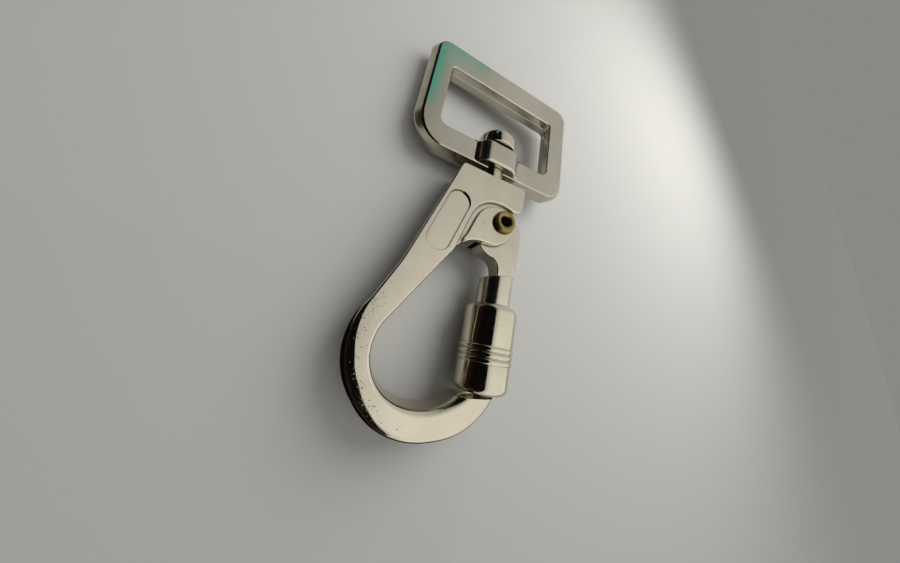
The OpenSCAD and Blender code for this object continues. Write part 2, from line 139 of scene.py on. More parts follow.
# plate: outline(u) drawn in by r(u)(1 - cos v) while the height rises by r(u) sin v, both faces
def roundedPlate(outline, radius, thickness, steps):
    flat = np.asarray(outline, float)[:, :2]
    radius = np.broadcast_to(np.asarray(radius, float), len(flat))
    turn = np.radians(np.linspace(0, 90, steps + 1))[:, None]
    inset = radius[None, :] * (1 - np.cos(turn))
    rise = thickness / 2 - radius[None, :] * (1 - np.sin(turn))
    ring = flat[None, :, :] + inset[:, :, None] * inwardNormals(flat)[None, :, :]
    upper = np.concatenate([ring, rise[:, :, None]], axis=2)
    lower = (upper * [1, 1, -1])[::-1]
    rows, cols = 2 * steps + 2, len(flat)
    points = np.concatenate([lower, upper]).reshape(-1, 3)
    faces = gridQuads(rows, cols)
    faces += [list(range(cols))[::-1], list(range((rows - 1) * cols, rows * cols))]
    return points, faces


# turned part: the profile (radius, height) goes round its axis, closed into a ring if asked
def turnedPart(profile, sides=128, closed=False):
    profile = np.asarray(profile, float)
    a = np.linspace(0, 2 * np.pi, sides, endpoint=False)
    r, h = profile[:, 0][:, None], profile[:, 1][:, None]
    points = np.stack([r * np.cos(a), r * np.sin(a), np.broadcast_to(h, (len(profile), sides))], axis=-1)
    return points.reshape(-1, 3), gridQuads(len(profile), sides, closeRows=closed)


# arc in a profile: centre, radius (or two), from angle a to angle b in degrees
def arc(centre, radius, a, b, steps=10):
    rx, ry = radius if isinstance(radius, tuple) else (radius, radius)
    t = np.radians(np.linspace(a, b, steps + 1))
    return np.stack([centre[0] + rx * np.cos(t), centre[1] + ry * np.sin(t)], axis=1)


# points turned and shifted by a 4 by 4 matrix
def moved(points, matrix):
    m = np.array(matrix)
    return points @ m[:3, :3].T + m[:3, 3]


# takes one solid from another, or adds it, and keeps the result as a plain mesh
def combine(piece, points, faces, way="DIFFERENCE", sharpDeg=32):
    tool = putDown("tool", points, faces)
    mod = piece.modifiers.new("cut", "BOOLEAN")
    mod.operation, mod.object, mod.solver = way, tool, "MANIFOLD"
    made = bpy.data.meshes.new_from_object(piece.evaluated_get(bpy.context.evaluated_depsgraph_get()))
    piece.modifiers.clear()
    old = piece.data
    piece.data = made
    made.name = piece.name
    bpy.data.meshes.remove(old)
    bpy.data.objects.remove(tool)
    mergeFlats(made)
    soften(made, sharpDeg)


# one face instead of many triangles wherever a surface is flat
def mergeFlats(mesh):
    work = bmesh.new()
    work.from_mesh(mesh)
    bmesh.ops.dissolve_limit(work, angle_limit=math.radians(0.15), verts=work.verts, edges=work.edges)
    work.to_mesh(mesh)
    work.free()


# low and high corner of a solid in the frame, in millimetres
def boxOf(node):
    lo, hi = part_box(node)
    return np.array(lo) / mm, np.array(hi) / mm


bodyLow, bodyHigh = boxOf("hook_body")
rivetLow, rivetHigh = boxOf("hinge_rivet")
sleeveLow, sleeveHigh = boxOf("lock_sleeve")
studLow, studHigh = boxOf("swivel_stud")
bodyThick = bodyHigh[2] - bodyLow[2]
blockTop = bodyHigh[1]
pivot = ((rivetLow + rivetHigh) / 2)[:2]
swivelX = ((studLow + studHigh) / 2)[0]
print("measures read: body", bodyThick, "mm thick, rivet at", pivot.round(2))

# hook body
body = {
    "backLean": 16.9,       # degrees, back edge of the spine
    "frontLean": 30.4,      # degrees, front edge of the spine
    "seatRadius": 8.0,
    "blockWidth": 14.5,
    "blockMiddle": 6.65,
    "edge": 0.35,           # rounding where the flat faces end
    "roundSteps": 9,
    "outlineStep": 0.3,
    "earDrop": 0.15,
    "grooveDepth": 0.65,
    "recess": (-1.07, 22.36, 13.1, 4.5, 0.4, 73.9),   # middle, length, width, depth, direction
    "slot": 3.8,            # room for the gate's lug between the ears
    "slotRound": 4.35,
    "mouthRound": 7.15,     # where the slot stops the gate
    "noseCut": 31.49,       # from the pivot down to the nose's flat end
    "noseTurn": 2.2,        # degrees
    "castMark": ((5.2, 24.35), (5.3, 23.5), (6.0, 23.9)),
    "markDeep": 0.04,
}
gate = {
    "lean": 1.4,            # degrees
    "side": 1.97,           # from the pivot to the stem's axis, level with the pivot
    "plate": 3.6,
    "lug": 4.1,
    "stem": 3.25,
    "stemTop": 15.2,
    "stemEnd": 4.1,
    "shoulderSlant": 11,    # degrees
    "edge": 0.3,
    "pinHole": 1.85,
}
blockLeft = body["blockMiddle"] - body["blockWidth"] / 2
blockRight = body["blockMiddle"] + body["blockWidth"] / 2


# where the gate's axis crosses the height y
def axisX(y):
    return pivot[0] + gate["side"] - (pivot[1] - y) * math.tan(math.radians(gate["lean"]))


# value at an angle, read between rows of (angle, value)
def byAngle(rows, degrees):
    table = np.array(rows, float)
    return np.interp(degrees, table[:, 0], table[:, 1])


# outline of the casting: back edge, bow outside, nose, bow inside, front edge, ear line, block
def bodyOutline():
    edge = body["edge"]
    tanBack, tanFront = (math.tan(math.radians(body[k])) for k in ("backLean", "frontLean"))
    outer = [(149, 11.8), (157, 12.05), (165, 12.15), (173, 12.22), (185, 12.32), (235, 12.4), (259, 12.5),
             (270, 12.6), (283, 12.8), (297, 13.25), (309, 13.75), (320, 14.1), (329, 14.25), (334, 14.25)]
    inner = [(149, 8.0), (160, 8.1), (180, 8.3), (200, 8.42), (215, 8.45), (235, 8.4), (250, 8.3),
             (270, 8.25), (290, 8.32), (305, 8.45), (318, 8.6), (334, 8.9)]
    roundOut = [(149, edge), (163, 1.1), (177, 1.6), (189, 2.0), (213, 2.1), (230, 1.7), (241, 1.3),
                (254, 1.0), (268, 0.9), (300, 1.2), (320, 1.9), (334, 2.1)]
    roundIn = [(149, edge), (215, 0.5), (268, 1.0), (300, 1.3), (320, 1.8), (334, 1.9)]
    y = np.array([blockTop - 0.6, 31, 27, 23, 19, 16, 13.2])
    back = np.stack([blockLeft - (blockTop - y) * tanBack, y, 0 * y + edge], 1)
    shoulder = np.array([[-8.4, 10.2, edge], [-9.35, 8.0, edge]])
    a = np.arange(150, 330.1, 4.5)
    r = byAngle(outer, a)
    bowOut = np.stack([r * np.cos(np.radians(a)), r * np.sin(np.radians(a)), byAngle(roundOut, a)], 1)
    nose = np.array([[axisX(-4) + 2.5, -4.4, 1.9], [axisX(-1) + 2.4, -1, 0.8], [axisX(-1) - 2.4, -1, 0.8],
                     [axisX(-3) - 2.7, -3, 1.7]])
    a = np.arange(327, 151.9, -5)
    r = byAngle(inner, a)
    bowIn = np.stack([r * np.cos(np.radians(a)), r * np.sin(np.radians(a)), byAngle(roundIn, a)], 1)
    touch = math.radians(180 - body["frontLean"])
    tx, ty = body["seatRadius"] * math.cos(touch), body["seatRadius"] * math.sin(touch)
    y = np.array([5, 7, 10, 13, 15.5, 17.2])
    front = np.stack([tx + (y - ty) * tanFront, y, 0 * y + edge], 1)
    earLine = np.array([[1.12, 17.9], [1.3, 18.8], [1.6, 20.0], [1.95, 21.3], [2.3, 22.5], [2.65, 23.7],
                        [3.1, 25.2], [3.5, 26.1], [4.05, 27.0], [4.75, 27.75], [5.6, 28.4], [6.6, 28.85],
                        [7.7, 29.1], [9.0, 29.15], [10.3, 29.0], [11.6, 28.75], [12.5, 28.75], [13.2, 29.15],
                        [13.65, 29.8]])
    block = np.array([[blockRight - 0.05, 30.8], [blockRight, 32], [blockRight, blockTop - 0.5],
                      [blockRight - 0.15, blockTop - 0.15], [blockRight - 0.5, blockTop], [7, blockTop],
                      [blockLeft + 0.4, blockTop], [blockLeft + 0.08, blockTop - 0.18]])
    tail = np.concatenate([earLine, block])
    tail = np.concatenate([tail, np.full((len(tail), 1), edge)], 1)
    return smoothLoop(np.concatenate([back, shoulder, bowOut, nose, bowIn, front, tail]), body["outlineStep"])


# stadium: two half circles of the given radius joined by straight sides, turned about its middle
def stadium(cx, cy, length, width, turnDeg, steps=28):
    r = width / 2
    right = arc((length / 2 - r, 0), r, -90, 90, steps)
    left = arc((r - length / 2, 0), r, 90, 270, steps)
    flat = np.concatenate([right, left])
    c, s = math.cos(math.radians(turnDeg)), math.sin(math.radians(turnDeg))
    return flat @ np.array([[c, s], [-s, c]]) + [cx, cy]


# straight prism: the outline carried from one height to another
def prism(outline, low, high):
    flat = np.asarray(outline, float)[:, :2]
    n = len(flat)
    points = np.concatenate([np.c_[flat, np.full(n, low)], np.c_[flat, np.full(n, high)]])
    return points, gridQuads(2, n) + [list(range(n))[::-1], list(range(n, 2 * n))]


# casting: the rounded plate, plus the ears, less the slot, the rivet's hole and the recesses
def makeHookBody():
    outline, step = bodyOutline(), body["outlineStep"]
    half = bodyThick / 2
    rounding = np.maximum(outline[:, 2], 0.3)
    piece = putDown("hookBody", *roundedPlate(outline, rounding, bodyThick, body["roundSteps"]))
    lowEdge = np.array([[2.15, 18.95], [3.2, 19.65], [4.3, 20.15], [5.5, 20.4], [6.9, 20.4], [8.3, 20.5],
                        [9.3, 20.8], [10.2, 21.4], [11.0, 22.2], [11.75, 23.3], [12.35, 24.5],
                        [12.65, 25.8], [12.5, 27.1], [12.0, 28.0]])
    earFace = np.concatenate([lowEdge, [[11.0, 28.35], [9.6, 28.45], [8.2, 28.4], [7.0, 28.1], [5.8, 27.5],
                                        [4.8, 26.5], [4.1, 25.2], [3.45, 23.3], [2.7, 21.0], [2.1, 19.7]]])
    grooveFloor = np.concatenate([[[0.6, 17.2], [1.25, 18.08]], lowEdge + [-0.04, 0.08],
                                  [[11.2, 29.6], [9.0, 30.0], [6.0, 29.6], [3.4, 27.8], [2.2, 25.0],
                                   [1.2, 21.5], [0.5, 19.0]]])
    inlays = ((grooveFloor, 0.1, body["grooveDepth"], 2), (earFace, 0.3, body["earDrop"], 5))
    for flat, edge, drop, steps in inlays:
        combine(piece, *roundedPlate(smoothLoop(flat, step), edge, 2 * (half - drop), steps), way="UNION")
    # flat end of the nose, just outside the sleeve's swing
    turn = Matrix.Rotation(math.radians(body["noseTurn"]), 4, "Z")
    low = -body["noseCut"]
    points, faces = prism([(-10, low), (10, low), (10, low + 8), (-10, low + 8)], -bodyThick, bodyThick)
    combine(piece, moved(points, Matrix.Translation((pivot[0], pivot[1], 0)) @ turn), faces)
    slotHalf = body["slot"] / 2
    combine(piece, *prism(arc(pivot, body["slotRound"], 0, 358, 90), -slotHalf, slotHalf))
    mouth = np.concatenate([arc(pivot, body["mouthRound"], 180, 252, 24),
                            [[17, 19], [17, pivot[1] + 3], [pivot[0], pivot[1] + 3]]])
    combine(piece, *prism(mouth, -slotHalf, slotHalf))
    combine(piece, *prism(arc(pivot, (rivetHigh - rivetLow)[0] / 2 - 0.4, 0, 356, 90), -half - 1, half + 1))
    cx, cy, length, width, depth, turnDeg = body["recess"]
    for side in (1, -1):
        low, high = sorted((side * (half - depth), side * (half + 1)))
        combine(piece, *prism(stadium(cx, cy, length, width, turnDeg), low, high))
    face = half - body["earDrop"]
    combine(piece, *prism(body["castMark"], face - body["markDeep"], face + 1))
    weighNormals(piece)
    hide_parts("hook_body")
    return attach(piece, "hook")


hookBody = makeHookBody()
print("hook body:", len(hookBody.data.polygons), "faces")

# frame whose Z axis runs down the gate's axis, zero at the height of the seat centre
downGate = (Matrix.Translation((axisX(0), 0, 0)) @ Matrix.Rotation(math.radians(-gate["lean"]), 4, "Z")
            @ Matrix.Rotation(math.radians(90), 4, "X"))


# gate: a flat lug, and a round stem whose upper end follows a slant
def makeGate():
    lug = arc(pivot, gate["lug"], 24, 180, 13)
    rest = [[5.65, 24.2], [5.7, 22.4], [5.8, 21.0], [6.05, 20.1], [6.7, 19.4], [7.9, 18.85], [9.1, 18.5],
            [10.0, 17.8], [10.5, 16.7], [10.6, 15.2], [10.8, 14.0], [13.6, 14.0], [14.3, 15.4], [14.6, 17.0],
            [14.78, 19.6], [14.85, 21.6], [14.87, 23.7], [14.75, 25.4], [14.35, 26.5]]
    outline = smoothLoop(np.concatenate([lug, rest]), body["outlineStep"])
    plate = roundedPlate(outline, gate["edge"], gate["plate"], 5)
    # stem: rings of radius r at height h, the upper ones tipped so that h follows the slant across X
    r, top, end = gate["stem"], -gate["stemTop"], gate["stemEnd"]
    profile = np.concatenate([[[0, top], [r * 0.5, top]], arc((r - 0.2, top + 0.2), 0.2, -90, 0, 5),
                              [[r, top + 1.5], [r, top + 4], [r, end - 0.5]],
                              arc((r - 0.4, end - 0.4), 0.4, 0, 90, 5), [[0, end]]])
    points, faces = turnedPart(profile, 96)
    tip = np.clip(1 - (points[:, 2] - top) / 1.5, 0, 1) ** 0.5
    points[:, 2] -= points[:, 0] * math.tan(math.radians(gate["shoulderSlant"])) * tip
    stem = (moved(points, downGate), faces)
    piece = putDown("gateArm", *plate)
    combine(piece, *prism(arc(pivot, gate["pinHole"], 0, 356, 60), -gate["plate"], gate["plate"]))
    combine(piece, *stem, way="UNION")
    weighNormals(piece)
    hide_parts("gate")
    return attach(piece, "gate_arm")


gateArm = makeGate()
print("gate:", len(gateArm.data.polygons), "faces")

sleeve = {
    "radius": 4.85,
    "bore": 3.3,
    "rim": -5.3,            # height of the lower rim
    "length": 14.9,
    "beads": (7.65, 8.65, 9.65),   # heights of the grip beads from the top
    "beadOut": 0.21,
    "beadHalf": 0.44,       # half the height of one bead
    "topRound": 1.3,
    "rimRound": 1.3,
}


# screw sleeve: a turned profile, heights counted from its upper end
def makeSleeve():
    r, bore, long = sleeve["radius"], sleeve["bore"], sleeve["length"]
    top, rim = sleeve["topRound"], sleeve["rimRound"]
    parts = [[[bore, 0.8], [bore + 0.3, 0.7], [bore + 0.3, 0.02]], arc((r - top, top), top, -90, 0, 14),
             [[r, 4.0], [r, 7.0]]]
    for z in sleeve["beads"]:
        # radius = wall plus the cosine of t to the power 0.7, with a fine groove left between two beads
        t = np.linspace(-1, 1, 15)
        out = sleeve["beadOut"] * np.cos(t * np.pi / 2) ** 0.7
        parts.append(np.stack([r - 0.06 + out, z + sleeve["beadHalf"] * t], 1))
    parts += [[[r - 0.02, 10.25], [r - 0.02, 12.0]], arc((r - rim, long - rim), rim, 0, 90, 14),
              [[bore + 0.15, long], [bore, long - 0.15]]]
    points, faces = turnedPart(np.concatenate([np.array(p, float) for p in parts]), 144, closed=True)
    points[:, 2] -= sleeve["rim"] + long
    piece = putDown("lockSleeve", moved(points, downGate), faces, 40)
    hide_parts("lock_sleeve")
    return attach(piece, "sleeve")


lockSleeve = makeSleeve()
print("sleeve:", len(lockSleeve.data.polygons), "faces")

rivet = {"tube": 1.8, "hole": 1.02, "head": 2.2}


# hinge rivet: a tube whose rims are rolled outwards, each a half ellipse in section
def makeRivet():
    top = rivetHigh[2]
    w = (rivet["head"] - rivet["hole"]) / 2
    face = bodyThick / 2 - body["earDrop"]
    half = np.concatenate([[[rivet["tube"], 0], [rivet["tube"], face - 0.02], [rivet["head"] - 0.06, face]],
                           arc((rivet["hole"] + w, top - 0.8 * w), (w, 0.8 * w), 0, 180, 16),
                           [[rivet["hole"], 0]]])
    profile = np.concatenate([half, (half * [1, -1])[::-1][1:-1]])
    points, faces = turnedPart(profile, 96, closed=True)
    piece = putDown("hingeRivet", moved(points, Matrix.Translation((pivot[0], pivot[1], 0))), faces)
    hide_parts("hinge_rivet")
    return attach(piece, "hook")


hingeRivet = makeRivet()
print("rivet:", len(hingeRivet.data.polygons), "faces")

loop = {
    "strapWide": 26.6,
    "strapHigh": 15.2,
    "innerLow": 42.3,
    "sideBar": 5.45,        # bars at mid thickness
    "outerBar": 5.8,
    "lowBar": 5.0,
    "thick": 3.4,
    "sideLean": 46,         # degrees, left and right sides from the face
    "faceRound": 0.3,
    "middleRound": 0.5,
    "partingRidge": 0.17,   # inner walls lean out to this at mid thickness
    "innerBevel": 0.28,
    "cornersOut": (5.2, 2.7, 2.5, 6.5),   # lower right, upper right, upper left, lower left
    "cornersIn": (1.7, 0.9, 0.9, 1.7),
    "openingSide": 0.35,    # set of the opening to the left of the hub
    "turn": 0.4,            # degrees about the swivel axis
    "hubBar": 4.8,          # height of the hub below the opening
    "hubRise": 0.2,         # and above the opening's lower edge
    "hubHalf": 4.9,
    "hubDeep": 3.6,
    "hubFillet": 1.9,
    "hubRound": 2.8,
    "hubEdge": 0.55,
    "bore": 2.45,
}


# rounded rectangle from lower right round to lower left, with as many points at each corner
def roundedRectangle(low, high, radii, steps):
    (x0, y0), (x1, y1) = low, high
    centres = [(x1 - radii[0], y0 + radii[0]), (x1 - radii[1], y1 - radii[1]), (x0 + radii[2], y1 - radii[2]),
               (x0 + radii[3], y0 + radii[3])]
    flat, normal = [], []
    for k, (c, r) in enumerate(zip(centres, radii)):
        t = np.radians(np.linspace(-90 + 90 * k, 90 * k, steps + 1))
        flat.append(np.stack([c[0] + r * np.cos(t), c[1] + r * np.sin(t)], 1))
        normal.append(np.stack([np.cos(t), np.sin(t)], 1))
    return np.concatenate(flat), np.concatenate(normal)


# half section of the outer side, rows of (rounding drawn in all round, slope drawn in at the left and right
# sides, height): a small arc at mid thickness, a straight slope, and a quarter round under the face
def outerSide():
    h, r1, r2 = loop["thick"] / 2, loop["faceRound"], loop["middleRound"]
    lean = math.radians(loop["sideLean"])
    t = np.linspace(math.pi / 2, lean, 6)
    middle = np.stack([0 * t, r2 * (1 - np.sin(t)), r2 * np.cos(t)], 1)
    t = np.radians(np.linspace(0, 90, 7))
    z = h - r1 + r1 * np.sin(t)
    slope = middle[-1, 1] + (z - middle[-1, 2]) / math.tan(lean)
    return np.concatenate([middle, np.stack([r1 * (1 - np.cos(t)), slope, z], 1)])


# strap loop: a ring whose section is carried round between two rounded rectangles
def makeLoop():
    h, w, side = loop["thick"] / 2, loop["strapWide"] / 2, loop["openingSide"]
    outBox = ((-w - loop["sideBar"], loop["innerLow"] - loop["lowBar"]),
              (w + loop["sideBar"], loop["innerLow"] + loop["strapHigh"] + loop["outerBar"]))
    inBox = ((-w - side, loop["innerLow"]), (w - side, loop["innerLow"] + loop["strapHigh"]))
    outer, outNormal = roundedRectangle(*outBox, loop["cornersOut"], 18)
    inner, inNormal = roundedRectangle(*inBox, loop["cornersIn"], 18)
    # section rows: 1 for the outer line and 0 for the inner one, distance drawn in, slope, height
    out = outerSide()
    out = np.c_[np.ones(len(out)), out]
    a = np.radians(np.linspace(90, 0, 6))
    edge = loop["innerBevel"]
    bevel = np.stack([0 * a, edge * (1 - np.cos(a)), 0 * a, h - edge + edge * np.sin(a)], 1)
    ridge = loop["partingRidge"]
    wall = np.array([[0, -0.7 * ridge, 0, 0.07], [0, -ridge, 0, 0.03]])
    top = np.concatenate([out, bevel, wall])
    section = np.concatenate([top, (top * [1, 1, 1, -1])[::-1]])
    share, draw, slope, z = (section[:, k][:, None, None] for k in range(4))
    # the slope fades round the lower corners and keeps its full depth at the upper ones
    across = np.where(outer[:, 1] > loop["innerLow"], np.sign(outer[:, 0]), outNormal[:, 0])
    onOuter = outer[None] - draw * outNormal[None] - slope * across[None, :, None] * [1, 0]
    onInner = inner[None] + draw * inNormal[None]
    flat = np.where(share > 0.5, onOuter, onInner)
    points = np.concatenate([flat, np.broadcast_to(z, flat.shape[:2] + (1,))], axis=2)
    faces = gridQuads(len(section), len(outer), closeRows=True)
    piece = putDown("strapLoop", moved(points.reshape(-1, 3), swivelFrame()), faces)
    combine(piece, *hubShape(), way="UNION")
    bore = loop["bore"]
    points, faces = turnedPart([[0, 30], [bore, 30], [bore, 56], [0, 56]], 72)
    combine(piece, moved(points, swivelFrame() @ Matrix.Rotation(math.radians(-90), 4, "X")), faces)
    weighNormals(piece)
    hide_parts("strap_loop")
    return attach(piece, "loop")


# the loop's own frame: its Y axis is the swivel's
def swivelFrame():
    return Matrix.Translation((swivelX, 0, 0)) @ Matrix.Rotation(math.radians(loop["turn"]), 4, "Y")


# hub: round sides (circle about c) that run into the bar through hollow fillets (circle about f),
# the two circles touching where the line between their middles crosses them
def hubShape():
    fillet, deep, half, side = loop["hubFillet"], loop["hubDeep"], loop["hubHalf"], loop["hubRound"]
    c = np.array([half - side, deep - side])
    fz = loop["thick"] / 2 - 0.1 + fillet
    lean = math.degrees(math.asin((fz - c[1]) / (side + fillet)))
    f = (c[0] + (side + fillet) * math.cos(math.radians(lean)), fz)
    right = np.concatenate([arc(f, fillet, 270, 180 + lean, 12), arc(c, side, lean, 90, 20)[1:]])
    upper = np.concatenate([right, (right * [-1, 1])[::-1]])
    section = np.concatenate([upper, -upper])
    low = loop["innerLow"] - loop["hubBar"]
    high = loop["hubBar"] + loop["hubRise"]
    points, faces = roundedPlate(section, loop["hubEdge"], high, 6)
    upright = Matrix.Translation((0, low + high / 2, 0)) @ Matrix.Rotation(math.radians(90), 4, "X")
    return moved(points, swivelFrame() @ upright), faces


strapLoop = makeLoop()
print("loop:", len(strapLoop.data.polygons), "faces")

stud = {"shank": 2.4, "head": 4.35, "seat": 42.6, "round": 1.35}


# swivel stud: a shank and a drum head with a rounded upper edge, turned about the swivel axis
def makeStud():
    r, seat, edge, top = stud["head"], stud["seat"], stud["round"], studHigh[1]
    profile = np.concatenate([[[0, studLow[1]], [stud["shank"], studLow[1]], [stud["shank"], seat]],
                              arc((r - 0.2, seat + 0.2), 0.2, -90, 0, 4),
                              arc((r - edge, top - edge), edge, 0, 84, 12), [[1.2, top - 0.01], [0, top]]])
    points, faces = turnedPart(profile, 96)
    place = Matrix.Translation((swivelX, 0, 0)) @ Matrix.Rotation(math.radians(-90), 4, "X")
    piece = putDown("swivelStud", moved(points, place), faces)
    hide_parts("swivel_stud")
    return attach(piece, "hook")


swivelStud = makeStud()
print("stud:", len(swivelStud.data.polygons), "faces")


# shader node group with its sockets, and its two end nodes; inputs are rows of (name, kind, value)
def newGroup(name, inputs, outputs):
    group = bpy.data.node_groups.new(name, "ShaderNodeTree")
    for label, kind, value in inputs:
        socket = group.interface.new_socket(name=label, in_out="INPUT", socket_type=kind)
        if value is not None:
            socket.default_value = value
    for label, kind in outputs:
        group.interface.new_socket(name=label, in_out="OUTPUT", socket_type=kind)
    return group, group.nodes.new("NodeGroupInput"), group.nodes.new("NodeGroupOutput")


# feeds a socket from another node's output, or sets it to a value
def feed(tree, socket, value):
    if hasattr(value, "default_value"):
        tree.links.new(value, socket)
    elif value is not None:
        socket.default_value = value


# operation of a, b and c, each a number or another node's output
def mathNode(tree, operation, a, b=None, c=None):
    node = tree.nodes.new("ShaderNodeMath")
    node.operation = operation
    for socket, value in zip(node.inputs, (a, b, c)):
        feed(tree, socket, value)
    return node.outputs[0]


# soft noise between 0 and 1
def noiseNode(tree, vector, scale, detail=3.0, rough=0.5):
    node = tree.nodes.new("ShaderNodeTexNoise")
    for label, value in (("Vector", vector), ("Scale", scale), ("Detail", detail), ("Roughness", rough)):
        feed(tree, node.inputs[label], value)
    return node.outputs["Fac"]


# smooth step: outLow below low, outHigh above high
def spread(tree, value, low, high, outLow=0.0, outHigh=1.0):
    node = tree.nodes.new("ShaderNodeMapRange")
    node.interpolation_type = "SMOOTHSTEP"
    for label, v in (("Value", value), ("From Min", low), ("From Max", high),
                     ("To Min", outLow), ("To Max", outHigh)):
        feed(tree, node.inputs[label], v)
    return node.outputs["Result"]


# plated casting skin: slow waves in the plating, fine orange peel, and handling smears
def buildSkinGroup():
    number = "NodeSocketFloat"
    inputs = [("vector", "NodeSocketVector", None), ("waveScale", number, 220.0),
              ("peelScale", number, 1600.0), ("smear", number, 0.5)]
    outputs = [("height", number), ("smear", number), ("tone", number)]
    group, start, end = newGroup("castSkin", inputs, outputs)
    at = start.outputs
    wave = noiseNode(group, at["vector"], at["waveScale"], 2.0, 0.4)
    peel = noiseNode(group, at["vector"], at["peelScale"], 3.0, 0.55)
    height = mathNode(group, "MULTIPLY_ADD", peel, 0.16, wave)
    smear = noiseNode(group, at["vector"], 420.0, 5.0, 0.62)
    smear = mathNode(group, "MULTIPLY", spread(group, smear, 0.42, 0.7), at["smear"])
    tone = noiseNode(group, at["vector"], 130.0, 4.0, 0.6)
    for label, value in (("height", height), ("smear", smear), ("tone", tone)):
        feed(group, end.inputs[label], value)
    return group


# pinholes of a die casting: small round pits, thinned out by a slow noise
def buildPitGroup():
    number = "NodeSocketFloat"
    inputs = [("vector", "NodeSocketVector", None), ("scale", number, 1500.0), ("amount", number, 0.5)]
    group, start, end = newGroup("castPits", inputs, [("mask", number)])
    at = start.outputs
    cell = group.nodes.new("ShaderNodeTexVoronoi")
    cell.feature = "F1"
    feed(group, cell.inputs["Vector"], at["vector"])
    feed(group, cell.inputs["Scale"], at["scale"])
    spot = spread(group, cell.outputs["Distance"], 0.12, 0.3, 1.0, 0.0)
    split = group.nodes.new("ShaderNodeSeparateColor")
    feed(group, split.inputs["Color"], cell.outputs["Color"])
    chosen = mathNode(group, "LESS_THAN", split.outputs[0], at["amount"])
    feed(group, end.inputs["mask"], mathNode(group, "MULTIPLY", spot, chosen))
    return group


skinGroup = buildSkinGroup()
pitGroup = buildPitGroup()


# node of a group, fed with a vector and with values by their socket names
def useGroup(tree, group, vector, **values):
    node = tree.nodes.new("ShaderNodeGroup")
    node.node_tree = group
    feed(tree, node.inputs["vector"], vector)
    for label, value in values.items():
        feed(tree, node.inputs[label], value)
    return node


# new material with its tree, its shader and a node of coordinates
def newMaterial(name):
    material = bpy.data.materials.new(name)
    material.use_nodes = True
    tree = material.node_tree
    shader = next(n for n in tree.nodes if n.type == "BSDF_PRINCIPLED")
    where = tree.nodes.new("ShaderNodeTexCoord")
    return material, tree, shader, where


# colour a where the factor is 0, b where it is 1
def mixColours(tree, factor, a, b):
    node = tree.nodes.new("ShaderNodeMix")
    node.data_type = "RGBA"
    for socket, value in ((node.inputs[0], factor), (node.inputs[6], a), (node.inputs[7], b)):
        feed(tree, socket, value)
    return node.outputs[2]


# how far a place is from the Z axis: the length of the vector with its Z set to 0
def fromAxis(tree, place):
    flatten = tree.nodes.new("ShaderNodeVectorMath")
    flatten.operation = "MULTIPLY"
    flatten.inputs[1].default_value = (1, 1, 0)
    feed(tree, flatten.inputs[0], place)
    length = tree.nodes.new("ShaderNodeVectorMath")
    length.operation = "LENGTH"
    feed(tree, length.inputs[0], flatten.outputs[0])
    return length.outputs["Value"]


# 1 where walls, or edges when looked at from inside, lie closer than the reach, over a band of the measure
def closeBy(tree, reach, band, samples, inside):
    node = tree.nodes.new("ShaderNodeAmbientOcclusion")
    node.samples, node.inside = samples, inside
    node.inputs["Distance"].default_value = reach
    return spread(tree, node.outputs["AO"], band[0], band[1], 1.0, 0.0)


# plate over the casting: colour = flat tone, then painted shade in the corners and creases, lighter edges
# (worn plating and a painted edge highlight) and dark pits, roughness = rough + smear times roughSmear,
# height = waves less pits
def platedMetal(name, look):
    material, tree, shader, where = newMaterial(name)
    place = where.outputs["Object"]
    skin = useGroup(tree, skinGroup, place, waveScale=look["waveScale"], peelScale=look["peelScale"],
                    smear=look["smear"])
    pits = useGroup(tree, pitGroup, place, scale=look["pitScale"], amount=look["pitAmount"])
    tone = spread(tree, skin.outputs["tone"], 0.3, 0.7)
    colour = mixColours(tree, tone, look["colour"], look["shade"])
    pitMask = pits.outputs["mask"]
    if "pitRing" in look:
        # pits gather where the flat face turns into the bow's round
        away = fromAxis(tree, place)
        r0, r1, r2 = look["pitRing"]
        near = mathNode(tree, "MULTIPLY", spread(tree, away, r0, r1), spread(tree, away, r1, r2, 1.0, 0.0))
        axes = tree.nodes.new("ShaderNodeSeparateXYZ")
        feed(tree, axes.inputs[0], place)
        side = mathNode(tree, "MULTIPLY", spread(tree, axes.outputs["X"], *look["pitLeft"]),
                        spread(tree, axes.outputs["Y"], *look["pitBelow"], 1.0, 0.0))
        crowd = mathNode(tree, "MULTIPLY", near, side)
        amount = mathNode(tree, "MULTIPLY_ADD", crowd, look["pitCrowd"], look["pitAmount"])
        feed(tree, pits.inputs["amount"], amount)
    # painted shade: crevices, grooves and the feet of walls are darkened towards the pit colour, where little
    # light reaches
    shadeMask = closeBy(tree, look["crevice"], look["shadeBand"], 8, False)
    colour = mixColours(tree, mathNode(tree, "MULTIPLY", shadeMask, look["creviceShade"]), colour, look["pitAndShadeColour"])
    # lighter convex edges: partly worn plating, partly a painted edge highlight
    edgeMask = closeBy(tree, look["crevice"], look["edgeBand"], 6, True)
    colour = mixColours(tree, mathNode(tree, "MULTIPLY", edgeMask, look["edgeWearAndHighlight"]), colour, look["edgeWearAndHighlightColour"])
    colour = mixColours(tree, pitMask, colour, look["pitAndShadeColour"])
    feed(tree, shader.inputs["Base Color"], colour)
    rough = mathNode(tree, "MULTIPLY_ADD", skin.outputs["smear"], look["roughSmear"], look["rough"])
    feed(tree, shader.inputs["Roughness"], rough)
    shader.inputs["Metallic"].default_value = 1.0
    height = mathNode(tree, "SUBTRACT", mathNode(tree, "MULTIPLY", skin.outputs["height"], look["waveDepth"]),
                      mathNode(tree, "MULTIPLY", pitMask, look["pitDepth"]))
    bump = tree.nodes.new("ShaderNodeBump")
    bump.inputs["Strength"].default_value = look["bump"]
    bump.inputs["Distance"].default_value = look["bumpHigh"]
    feed(tree, bump.inputs["Height"], height)
    feed(tree, shader.inputs["Normal"], bump.outputs["Normal"])
    return material


